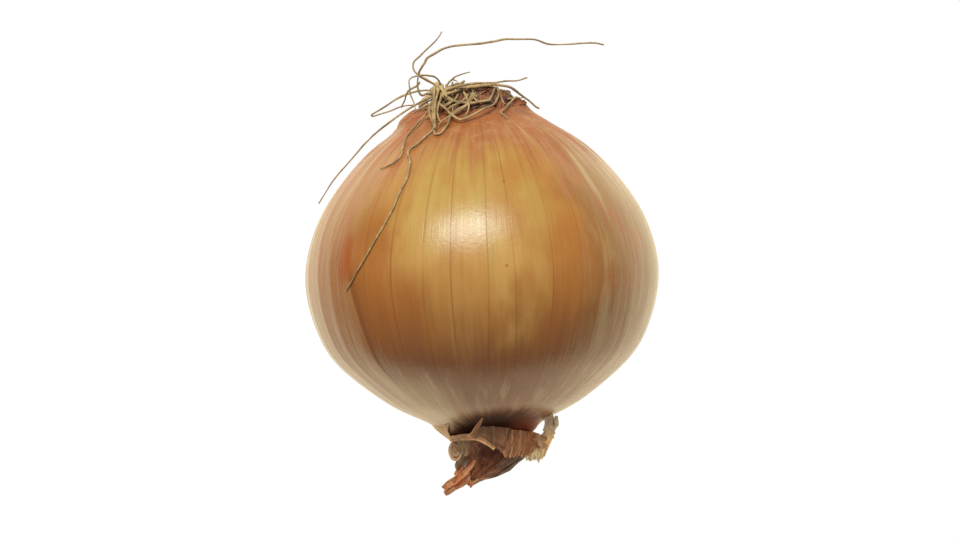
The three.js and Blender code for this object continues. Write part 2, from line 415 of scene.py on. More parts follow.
def make_vein_group():
    """Thin lines that run from root to neck, nearly evenly spaced and fading in and out."""
    group, given, result = new_group("Veins", {
        "Place": (0.0, 0.0, 0.0), "Turn": 0.0, "Radius": 40.0,
        "Count": 34.0, "Shift": 0.36, "Width": 0.27}, ["Veins"])
    wander = streaks(given["Place"], 4.0, 160.0, 5.0, 1.0)
    fade = streaks(given["Place"], 9.0, 30.0, 14.0, 3.0)
    lane = plus(times(given["Turn"], given["Count"]), given["Shift"], ramp(wander, 0.25, 0.75, -0.22, 0.22))
    off = maths("ABSOLUTE", minus(maths("FRACT", lane), 0.5))
    lane_width = over(times(given["Radius"], TURN), given["Count"])
    away = over(times(off, lane_width), given["Width"])
    set_inputs(result, {"Veins": times(ramp(away, 1.0, 0.1), ramp(fade, 0.28, 0.60))})
    return group


PLACE = make_place_group()
STREAKS = make_streak_group()
VEINS = make_vein_group()


def new_material(name):
    material = bpy.data.materials.new(name)
    material.use_nodes = True
    Bench.tree = material.node_tree
    return material, Bench.tree.nodes["Principled BSDF"]


def new_finish(name):
    """A material, its shader, and the place on the onion in millimetres from the bulb's axis."""
    material, shader = new_material(name)
    spot = add_node("ShaderNodeTexCoord").outputs["Object"]
    place = add_node("ShaderNodeMapping", {
        "Vector": spot, "Scale": (1 / MM, 1 / MM, 1 / MM), "Location": (0, 0, -AXIS_HEIGHT)}).outputs[0]
    return material, shader, place


def dress(shader, colour, roughness, height, depth, strength=1.0):
    """Gives a finish its colour, its roughness and its surface height, whose full depth is in millimetres."""
    bump = add_node("ShaderNodeBump", {"Height": height, "Distance": depth * MM, "Strength": strength})
    set_inputs(shader, {"Base Color": colour, "Roughness": roughness, "Normal": bump.outputs["Normal"]})


# ---------------------------------------------------------------- finishes

YELLOW = (0.49, 0.305, 0.076)
GOLD = (0.59, 0.31, 0.082)
AMBER = (0.44, 0.165, 0.033)
DEEP_AMBER = (0.36, 0.110, 0.018)
ORANGE = (0.47, 0.150, 0.028)
OCHRE = (0.50, 0.26, 0.075)
LEAF_GOLD = (0.40, 0.185, 0.026)
FLANK = (0.33, 0.140, 0.037)
UMBER = (0.20, 0.075, 0.020)
CREAM = (0.60, 0.42, 0.22)
CHALK = (0.62, 0.46, 0.31)
SAND = (0.52, 0.32, 0.13)
# Painted sheen from the light table, low on the left of the bulb.
PAINTED_SHEEN = (0.50, 0.28, 0.13)
PINK = (0.42, 0.105, 0.032)
SCARLET = (0.40, 0.085, 0.012)
ROOT_RED = (0.35, 0.095, 0.017)
RUST = (0.33, 0.082, 0.011)
NECK_BROWN = (0.33, 0.115, 0.034)
# Painted shade in the hollow behind the torn collar: near black, and dark red-brown skin on its right.
HOLLOW_SHADE = (0.065, 0.015, 0.004)
HOLLOW_RED = (0.27, 0.050, 0.009)
VEIN_BROWN = (0.30, 0.085, 0.02)

FAN_X, FAN_Y = -5.5, -51.0  # where the ribs of the dried neck would meet, just past its tip


def golden_skin():
    """The bulb's skin: golden above, browner and worn on its sides, rusty at the root, dark at the neck, with
    painted shade in the hollow there.
    """
    material, shader, place = new_finish("golden skin")
    around = use_group(PLACE, Place=place)
    turn, along, radius = around["Turn"], around["Along"], around["Radius"]

    broad = streaks(place, 1.6, 34, 3.0, 2.0)
    medium = streaks(place, 7.0, 36, 7.0)
    narrow = streaks(place, 15.0, 24, 31.0, 3.0)
    tatter = streaks(place, 8.0, 8, 53.0, 5.0)
    fine = streaks(place, 42.0, 20, 11.0)
    hair = streaks(place, 120.0, 12, 17.0, 2.0)
    crinkle = streaks(place, 15.0, 30, 23.0)
    blush = streaks(place, 7.0, 14, 41.0)
    cloud = noise_of(add_node("ShaderNodeMapping", {"Vector": place, "Scale": (1, 0.5, 1)}).outputs[0], 0.13)
    leather = noise_of(place, 1.1, 2.0)
    stain = noise_of(place, 0.33, 5.0)
    waver = sway(narrow, -0.35, 0.35)

    def patch(centre, reach, uneven=waver):
        """1 inside an oval patch of the skin and 0 outside it. centre and reach are (turns, millimetres)."""
        across = over(minus(turn, centre[0]), reach[0])
        up = over(minus(along, centre[1]), reach[1])
        return ramp(plus(times(across, across), times(up, up), uneven), 1.6, 0.1)

    # How far along the axis with an uneven edge, and how far round from the middle, whichever way.
    ends = plus(along, sway(medium, -3.5, 3.5), sway(narrow, -2.5, 2.5))
    across = plus(
        maths("ABSOLUTE", plus(turn, 0.0175)), sway(medium, -0.006, 0.006), sway(cloud, -0.02, 0.02))
    flank = ramp(across, 0.090, 0.140)
    near_root = ramp(ends, 25, 34)
    uneven_radius = plus(radius, sway(stain, -1.2, 1.2))
    low_sides = times(ramp(across, 0.025, 0.075), ramp(ends, 0, -11, 0, 0.65))
    left_side = times(ramp(across, 0.05, 0.10), ramp(turn, 0, -0.05, 0, 0.6), ramp(ends, 19, 8))
    low_left = times(ramp(turn, -0.01, -0.07), ramp(ends, 8, -11, 0, 0.9))
    sides = maths("MAXIMUM", maths("MAXIMUM", low_sides, left_side), low_left)

    # The long fold on the left: painted shade on its inner side, darkest in a line along the fold, and paler
    # skin on its outer side.
    fold_line = maths("MINIMUM", minus(times(along, -0.0007), 0.1311), minus(times(along, -0.00027), 0.1280))
    inside = minus(turn, fold_line)
    folded = times(ramp(along, 7, -3), ramp(along, -30, -18))

    # The hollow behind the torn collar, where painted shade darkens the skin, near black and dark red-brown
    # on its right, and the worn skin, which stops short of it.
    facing = maths("COSINE", times(minus(turn, HOLLOW_TURN), TURN))
    edge = plus(times(facing, HOLLOW_SWING), sway(medium, -39.1, -38.3), sway(narrow, -0.3, 0.5))
    hollow = ramp(minus(edge, along), -1.3, 1.9)
    above = ramp(minus(edge, along), 0.5, -4)
    neck_end = times(ramp(ends, -17.5, -27), above)
    worn = times(flank, ramp(ends, 34, 20), ramp(ends, -15, -26, 1, 0.4), above)

    veins = use_group(VEINS, Place=place, Turn=turn, Radius=radius)["Veins"]
    cells = add_node("ShaderNodeTexVoronoi", {"Vector": place, "Scale": 0.16})
    chance = axes(cells.outputs["Color"])["X"]
    specks = times(ramp(cells.outputs["Distance"], 0.075, 0.03), ramp(chance, 0.72, 0.9))

    colour = layered(
        blend(ramp(ends, 0, 20), GOLD, YELLOW),
        (AMBER, ramp(cloud, 0.38, 0.70, 0, 0.4)),
        (AMBER, ramp(broad, 0.42, 0.70, 0, 0.4)),
        (YELLOW, ramp(across, 0.06, 0.02), ramp(medium, 0.50, 0.80, 0, 0.3)),
        (AMBER, ramp(across, 0.02, 0.115, 0, 0.9)),
        (DEEP_AMBER, sides),
        (FLANK, flank, 0.85),
        (OCHRE, patch((-0.10, 24), (0.045, 9), 0.0), 0.45),
        (ORANGE, patch((-0.118, 0), (0.022, 10)), 0.5),
        (ORANGE, patch((-0.095, -6), (0.035, 8)), 0.5),
        (ORANGE, patch((0.094, 1), (0.038, 14)), 0.5),
        (LEAF_GOLD, patch((-0.15, 18), (0.035, 9)), 0.5),
        (UMBER, patch((0.12, -13), (0.04, 7)), 0.4),
        (ROOT_RED, ramp(ends, 20, 36)),
        (RUST, patch((-0.24, 35), (0.07, 5))),
        (CHALK, patch((-0.205, 32.3), (0.035, 2.6)), 0.65),
        ((0.50, 0.23, 0.105), near_root, ramp(stain, 0.50, 0.66, 0, 0.4)),
        ((0.25, 0.060, 0.016), near_root, ramp(stain, 0.48, 0.34, 0, 0.35)),
        (PINK, flank, ramp(blush, 0.50, 0.64, 0, 0.7)),
        (SAND, flank, ramp(blush, 0.48, 0.34, 0, 0.35)),
        ((0.62, 0.33, 0.17), ramp(fine, 0.52, 0.68, 0, 0.25), ramp(ends, 26, 36)),
        ((0.22, 0.065, 0.026), ramp(uneven_radius, 14.8, 12.4), ramp(along, 30, 34, 0, 0.55)),
        (NECK_BROWN, ramp(ends, -6, -22)),
        # Painted sheen: a pale patch low on the left, where the table's light falls.
        (PAINTED_SHEEN, patch((-0.11, -28.5), (0.07, 6.2))),
        # Painted shade on the fold's inner side, darkest in a line at the fold; the outer side is paler skin.
        (DEEP_AMBER, ramp(inside, -0.002, 0.001), ramp(inside, 0.045, 0.0), folded, 0.6),
        ((0.18, 0.055, 0.015), ramp(inside, -0.002, 0.0), ramp(inside, 0.010, 0.001), folded, 0.5),
        ((0.50, 0.23, 0.085), ramp(inside, 0.001, -0.002), ramp(turn, -0.30, -0.17), folded, 0.6),
        ((0.62, 0.38, 0.22), neck_end, ramp(tatter, 0.48, 0.66, 0, 0.55)),
        ((0.20, 0.070, 0.030), neck_end, ramp(tatter, 0.46, 0.32, 0, 0.3)),
        (CREAM, worn, ramp(crinkle, 0.46, 0.74, 0, 0.45)),
        ((0.27, 0.12, 0.045), worn, ramp(crinkle, 0.46, 0.28, 0, 0.22)),
        ((0.42, 0.100, 0.030), flank, ramp(turn, -0.06, -0.12, 0, 0.35), ramp(turn, -0.34, -0.26)),
        (SCARLET, patch((-0.1385, 4.5), (0.0085, 6.0), times(waver, 0.8)), 0.75),
        (VEIN_BROWN, veins, 0.55),
        ((0.28, 0.08, 0.02), specks, 0.6),
    )
    shade = plus(times(fine, 0.5), times(hair, 0.5))
    colour = blend(sway(shade, 0.10, 0.0), colour, (0.25, 0.12, 0.04), "MULTIPLY")
    # Painted shade in the hollow behind the collar: near black, and dark red-brown on its right.
    colour = layered(colour, (HOLLOW_SHADE, hollow), (HOLLOW_RED, hollow, ramp(turn, 0.04, 0.18)))

    rough = plus(sway(fine, 0.26, 0.35), times(hollow, 0.6), ramp(ends, 24, 33, 0, 0.3))
    height = plus(
        times(hair, 0.09), times(leather, 0.10), times(fine, ramp(worn, 0, 1, 0.10, 0.13)),
        times(crinkle, ramp(worn, 0, 1, 0.05, 0.25)), times(stain, ramp(ends, 27, 36, 0, 1.3)),
        times(veins, -0.06))
    dress(shader, colour, rough, height, depth=0.36, strength=0.9)
    shader.inputs["Specular IOR Level"].default_value = 0.45
    return material


def dry_root():
    """Khaki strands, palest in the bunch they grow from."""
    material, shader, place = new_finish("dry root")
    blotch = noise_of(place, 0.4, 4.0)
    grain = noise_of(place, 2.6)
    away = vector_maths("DISTANCE", {0: place, 1: BUNCH}, "Value")
    colour = layered(
        blend(ramp(blotch, 0.36, 0.64), (0.27, 0.165, 0.072), (0.52, 0.34, 0.155)),
        ((0.58, 0.40, 0.19), ramp(away, 6.0, 1.0, 0, 0.5)),
        ((0.22, 0.145, 0.068), ramp(grain, 0.42, 0.7, 0, 0.5)),
    )
    dress(shader, colour, sway(grain, 0.6, 0.85), grain, depth=0.12)
    return material


def corky_plate():
    """Dark cork in lumps and pits, rustier in patches. The pits are painted near black: dark cork with
    painted shade.
    """
    material, shader, place = new_finish("corky plate")
    lumps = noise_of(place, 0.55, 6.0)
    patches = noise_of(place, 0.25)
    cells = add_node("ShaderNodeTexVoronoi", {"Vector": place, "Scale": 0.9}).outputs["Distance"]
    colour = layered(
        # Near black in the low spots of the bumps: dark cork with painted shade.
        blend(ramp(lumps, 0.38, 0.62), (0.045, 0.015, 0.012), (0.17, 0.055, 0.036)),
        ((0.34, 0.108, 0.046), ramp(patches, 0.46, 0.60, 0, 0.85)),
        ((0.25, 0.14, 0.07), ramp(cells, 0.35, 0.8, 0, 0.45)),
    )
    dress(shader, colour, sway(lumps, 0.7, 0.95), plus(lumps, times(cells, -0.4)), depth=0.6)
    return material


def darker(colour, share):
    return [share * part for part in colour]


def ribbed_skin(name, dark, mid, light, shaded=0.0):
    """Dried leaf skin with ribs that fan out from the neck's tip: painted highlight on the ribs, painted
    shade between them, and painted shadow by that share on its right.
    """
    material, shader, place = new_finish(name)
    x, y, z = axes(place)
    reach = minus(y, FAN_Y)
    ribs = noise_of(vector(over(minus(x, FAN_X), reach), times(y, 0.06), over(z, reach)), 11.0, 5.0)
    blotch = noise_of(place, 0.22, 4.0)
    colour = layered(
        blend(ramp(blotch, 0.36, 0.64), dark, mid),
        # Painted highlight on the ribs, painted shadow of the collar on the right, and painted shade between
        # the ribs.
        (light, ramp(ribs, 0.50, 0.66, 0, 0.6)),
        (darker(dark, 0.5), ramp(x, -0.5, 5), shaded),
        (darker(dark, 0.5), ramp(ribs, 0.46, 0.32, 0, 0.7)),
    )
    dress(shader, colour, sway(ribs, 0.55, 0.8), ribs, depth=0.45)
    shader.inputs["Specular IOR Level"].default_value = 0.3
    return material


def papery_skin(name, left, pale, glow, dark=0.5, right=None, split=0.0, painted_light_from=None, low_end=None):
    """Dry torn skin with pale fibres along it. glow is how much light soaks through it.

    dark is how bright its darkest marks are beside the rest. Some skins have another colour right of the
    split, are painted paler right of painted_light_from as painted light on a part in shade, or have a colour
    of their own at the lower end.
    """
    material, shader, place = new_finish(name)
    fibres = streaks(place, 24.0, 16.0, 8.0, 3.0)
    blotch = noise_of(place, 0.35)
    x, y, _ = axes(place)
    layers = []
    if right:
        layers.append((right, ramp(plus(x, sway(blotch, -2, 2)), split - 2.5, split + 2.5)))
    if low_end:
        layers.append((low_end, ramp(y, -35.6, -37.8)))
    # Painted light: paler right of this x, on a part that lies in the bulb's shade.
    if painted_light_from:
        layers.append((pale, ramp(x, painted_light_from, painted_light_from + 2.5, 0, 0.8)))
    colour = layered(
        left, *layers,
        (darker(left, dark), ramp(blotch, 0.62, 0.36, 0, 0.35)),
        (pale, ramp(fibres, 0.52, 0.70, 0, 0.6)),
        (darker(right or left, dark), ramp(fibres, 0.44, 0.30, 0, 0.45)),
    )
    dress(shader, colour, sway(fibres, 0.55, 0.75), fibres, depth=0.3)
    set_inputs(shader, {
        "Subsurface Weight": glow, "Subsurface Radius": (1.0, 1.0, 1.0), "Subsurface Scale": 0.8 * MM})
    return material


GOLDEN_SKIN = golden_skin()
DRY_ROOT = dry_root()
CORKY_PLATE = corky_plate()
BROWN_NECK = ribbed_skin("dried neck", (0.17, 0.053, 0.024), (0.35, 0.112, 0.047), (0.50, 0.175, 0.075),
                         shaded=0.95)
RUSTY_BLADE = ribbed_skin("rusty blade", (0.82, 0.28, 0.11), (0.94, 0.43, 0.19), (0.97, 0.62, 0.37))
# The collar's right end gets painted light.
COLLAR_SKIN = papery_skin("brown papery skin", (0.32, 0.148, 0.071), (0.90, 0.55, 0.30), glow=0.3,
                          right=(0.60, 0.225, 0.082), split=4.2, painted_light_from=9.2)
PEACH_SKIN = papery_skin("peach papery skin", (0.72, 0.32, 0.14), (0.88, 0.54, 0.31), glow=0.8)
LIP_SKIN = papery_skin("pinkish papery skin", (0.86, 0.37, 0.18), (0.92, 0.50, 0.28), glow=0.9, dark=0.75)
TAN_SKIN = papery_skin("tan papery skin", (0.97, 0.57, 0.31), (0.98, 0.72, 0.46), glow=0.6, dark=0.65)
HUSK_SKIN = papery_skin("rusty papery skin", (0.54, 0.31, 0.155), (0.72, 0.50, 0.29), glow=0.6)
PALE_SKIN = papery_skin("pale papery skin", (0.52, 0.41, 0.29), (0.66, 0.56, 0.42), glow=0.9,
                        low_end=(0.90, 0.45, 0.17))
YELLOW_SKIN = papery_skin("yellow papery skin", (0.98, 0.60, 0.31), (0.98, 0.74, 0.46), glow=0.7, dark=0.9)
GREY_SKIN = papery_skin("grey papery skin", (0.34, 0.23, 0.14), (0.48, 0.36, 0.23), glow=0.5)

# ---------------------------------------------------------------- the bulb

# Outline of the bulb from the throat to the rim, as (radius, y).
OUTLINE = smooth_line([
    (10.6, -35.6), (13.0, -33.4), (22.4, -28.4), (33.3, -19.3), (38.2, -10.2), (40.0, 0),
    (38.0, 10.2), (33.1, 19.3), (25.0, 28.4), (16.7, 34.2), (13.4, 36.4), (11.6, 38.0),
], 24)

# Lengthwise folds of the skin: degrees round from the top, width in degrees, and height.
FOLDS = [
    (-58, 1.6, 0.10), (-66, 1.3, 0.12), (-77, 1.8, 0.14), (-86, 1.4, 0.12), (-98, 3, 0.2), (-121, 2.5, 0.2),
    (57, 1.4, 0.08), (148, 3, 0.2), (171, 2.5, 0.2),
]

# The shoulder of older skin, low on the left of the root end: its middle, height and length along the axis.
SHOULDER_TURN, SHOULDER_Y = -0.25, 36.6
SHOULDER_HEIGHT, SHOULDER_LENGTH = 3.3, 2.5


def skin_radius(y):
    return np.interp(y, OUTLINE[:, 1], OUTLINE[:, 0])


def fold_turn(y):
    """How far round the long fold on the left lies."""
    return np.interp(y, [-26, -20, -14, -8.5, -4, 3, 10],
                     [-0.121, -0.1227, -0.1256, -0.1266, -0.1288, -0.1325, -0.137])


def skin_relief(turn, y):
    """How far the skin stands off the plain bulb: broad swells, soft facets, folds, and ribs at the neck."""
    drift = turn + 0.004 * np.sin(y / 11) + 0.003 * np.sin(y / 5 + 9 * turn)
    relief = 0.40 * lane_noise(drift, 7, 3) + 0.08 * lane_noise(drift, 34, 5)
    for at, width, height in FOLDS:
        away = np.mod(drift * 360 - at + 180, 360) - 180
        relief = relief + height * np.exp(-((away / width) ** 2))
    flank = rise(np.abs(np.mod(turn + 0.5, 1) - 0.5), 0.11, 0.17)
    relief = relief + flank * 0.045 * lane_noise(drift, 131, 8)
    overlap = 0.3 * rise(fold_turn(y) - turn, -0.002, 0.002) * rise(y, -26, -14)
    relief = relief + overlap * rise(-y, -14, -2) * rise(turn, -0.3, -0.16)
    body = rise(y, -35, -24) * rise(-y, -36, -26)
    return relief * body + rise(-y, 8, 27) * rise(y, -35.6, -31) * 0.07 * lane_noise(turn, 58, 9)


def shoulder(turn, y):
    """How far the older skin's shoulder stands out."""
    away = np.mod(turn - SHOULDER_TURN + 0.5, 1) - 0.5
    reach = np.exp(-(((y - SHOULDER_Y) / SHOULDER_LENGTH) ** 2))
    return SHOULDER_HEIGHT * reach * np.clip(np.cos(away * TURN), 0, 1) ** 3


def hollow_depth(turn, y):
    """How deep the skin sinks behind the torn collar, on the upper side of the neck."""
    edge = -38.5 + HOLLOW_SWING * np.cos((turn - HOLLOW_TURN) * TURN)
    return 2.6 * rise(edge - y, 0, 2.6)


def front_dip(turn):
    """How much lower the torn rim is on the upper side, where the root plate shows."""
    return 0.9 * np.exp(-(((np.asarray(turn) + 0.02) / 0.13) ** 2))


def make_bulb():
    """The bulb's skin, from the floor of the root recess, over the rim, to the throat and down into it."""
    recess = evenly([(0.01, 35.2), (9.6, 35.4), (10.4, 36.4), (10.5, 37.5), (10.9, 38.1), OUTLINE[-1]], 19)
    body = evenly(OUTLINE[::-1], 174)
    throat = evenly([OUTLINE[0], (9.9, -36.3), (9.0, -36.4), (7.4, -35.2), (0.01, -35.0)], 11)
    first, last = len(recess), len(recess) + len(body) - 1

    def shape(turn, row, radius, y):
        radius = radius + np.where((row >= first) & (row <= last), skin_relief(turn, y), 0)
        radius = radius + np.where(radius > 10.8, shoulder(turn, y), 0)
        radius = radius - np.where((y < -20) & (radius > 6), hollow_depth(turn, y), 0)
        y = y - front_dip(turn) * rise(y, 31, 38) + 0.35 * jagged(turn + 0.5, 31) * rise(y, 36.4, 38)
        points = round_axis(radius, y, turn)
        points[:, 2] = np.maximum(points[:, 2], -AXIS_HEIGHT)
        return points

    bulb = turned(384, np.vstack([recess[:-1], body, throat[1:]]), shape)
    finish_piece(bulb, "bulb_skin", GOLDEN_SKIN, ["bulb"])


# ---------------------------------------------------------------- the root end

SCARS = 110  # on the root plate
SHREDS = 26  # round the front of the rim
STUMPS = 20  # in the bunch of roots
CROSSINGS = 24  # short roots laid over the plate at random

# How far along the axis the root end's surface lies, as (radius, y). The plate has the first five of them.
ROOT_END = [
    (0, 42.3), (2.4, 42.2), (4.8, 42.0), (6.6, 41.4), (8.0, 40.6), (9.2, 39.6), (9.9, 38.6), (11.4, 38.2),
    (13.4, 36.4), (16.7, 34.2), (25.0, 28.4),
]


def root_end_height(radius):
    return float(np.interp(radius, *zip(*ROOT_END)))


def on_skin(points):
    """Points on the bulb's upper side, for (x, y, height above its skin)."""
    route = []
    for x, y, lift in points:
        turn = math.asin(x / skin_radius(y)) / TURN
        radius = skin_radius(y) + float(skin_relief(turn, y)) + lift
        route.append((x, y, math.sqrt(radius**2 - x**2)))
    return route


def make_plate():
    """The dark corky root plate with the scars of old roots."""
    def shape(turn, row, radius, y):
        radius = radius + np.where(row > 20, 0.35, 0.1) * lane_noise(turn, 46, 21) * (radius > 1)
        points = round_axis(radius, y - 0.8 * front_dip(turn) * (y < 37), turn)
        lumps = crumple(points, 1.7, 4) * 0.75 + crumple(points, 0.7, 5) * 0.35
        return points + lumps * (points[:, 1] > 36)[:, None]

    side = [(9.3, 39.5), (10.1, 38.2), (10.2, 36.5), (9.9, 35.6), (0, 35.5)]
    dome = turned(120, evenly(ROOT_END[:5] + side, 61), shape)
    scar = lump(8, 6, (0, 0, -AXIS_HEIGHT), (0.75, 0.7, 0.75))
    rng = random.Random(6)
    scars = []
    for _ in range(SCARS):
        radius, turn = 9.6 * math.sqrt(rng.random()), rng.random()
        copy = scar.copy()
        copy.data = scar.data.copy()
        bpy.context.collection.objects.link(copy)
        size = rng.uniform(0.5, 1.25)
        y = root_end_height(radius) + rng.uniform(-0.2, 0.25)
        spot = to_scene((radius * math.sin(turn * TURN), y, radius * math.cos(turn * TURN)))
        set_points(copy, points_of(scar) * size + spot)
        scars.append(copy)
    bpy.data.objects.remove(scar)
    finish_piece(join([dome] + scars), "root_plate", CORKY_PLATE, ["basal_plate"])


def make_flake():
    """The torn edge of the outer skin on the left of the root end."""
    first, last = -0.40, -0.13
    low, top = 27.5, 33.6

    def place(u, v):
        turn = first + (last - first) * u
        ends = np.minimum(rise(u, 0, 0.12), rise(1 - u, 0, 0.12))
        reach = low + (top + 0.35 * jagged(turn + 0.5, 34) - low) * (0.25 + 0.75 * ends)
        y = low + (reach - low) * v
        radius = np.interp(y, [28.4, 34.2, 36.4], [25.0, 16.7, 13.4])
        radius = radius + shoulder(turn, y) + skin_relief(turn, np.minimum(y, 35.5))
        radius = radius - 0.3 + 0.5 * rise(v, 0, 0.6) * ends + 0.2 * lane_noise(turn, 61, 36) * v**2
        return round_axis(radius, y - front_dip(turn) * rise(y, 31, 38), turn)

    finish_piece(sheet(160, 14, place, 0.12), "outer_flake", GOLDEN_SKIN)


def make_husk():
    """The dry husk that stands up from the torn skin on the left of the root end."""
    low = 36.8

    def place(u, v):
        turn = -0.35 + 0.22 * u
        top = 39.4 + 2.3 * np.exp(-(((turn + 0.24) / 0.05) ** 2)) + 0.6 * jagged(u, 37)
        y = low + (top - low) * v
        radius = np.interp(y, [low, 38.0, 39.2, 40.1, 41.0, 42.4], [11.6, 12.7, 12.7, 12.1, 10.9, 9.8])
        radius = radius - 0.9 * (1 - rise(u, 0, 0.3) * rise(1 - u, 0, 0.3))
        radius = radius + 0.35 * lane_noise(turn, 83, 38) * v
        points = round_axis(radius, y, turn)
        return points + crumple(points, 2.0, 39) * 0.5

    finish_piece(sheet(120, 30, place, SCRAP_THICKNESS), "torn_husk", HUSK_SKIN)


def make_shreds():
    """Short shreds of skin that stand round the front of the rim."""
    rng = random.Random(9)
    shreds = []
    for index in range(SHREDS):
        turn = -0.22 + 0.45 * index / SHREDS + rng.uniform(-0.006, 0.006)
        side, up = math.sin(turn * TURN), math.cos(turn * TURN)
        low = 37.0 - float(front_dip(turn))
        tall, lean = rng.uniform(0.9, 2.6), rng.uniform(-0.6, 0.6)
        route = [(12.0 * side, low - 0.3, 12.0 * up), (11.7 * side + 0.3 * lean, low + 0.5 * tall, 11.6 * up),
                 (11.1 * side + lean, low + tall, 10.9 * up)]
        wide = rng.uniform(1.2, 2.6)
        shreds.append(ribbon(route, lambda v: wide * (1 - v) ** 0.7 + 0.1, (side, 0.3, up), 0.2, 0.4,
                             90 + index, columns=6, rows=14))
    shreds.append(ribbon([(8.0, 38.6, 5.4), (9.6, 38.8, 4.9), (10.6, 38.7, 4.4), (11.6, 38.4, 3.9)],
                         lambda v: 2.6 * (1 - v) ** 0.8 + 0.15, (0.2, 0.3, 1), 0.3, 0.35, 6))
    finish_piece(join(shreds), "rim_shreds", GOLDEN_SKIN)


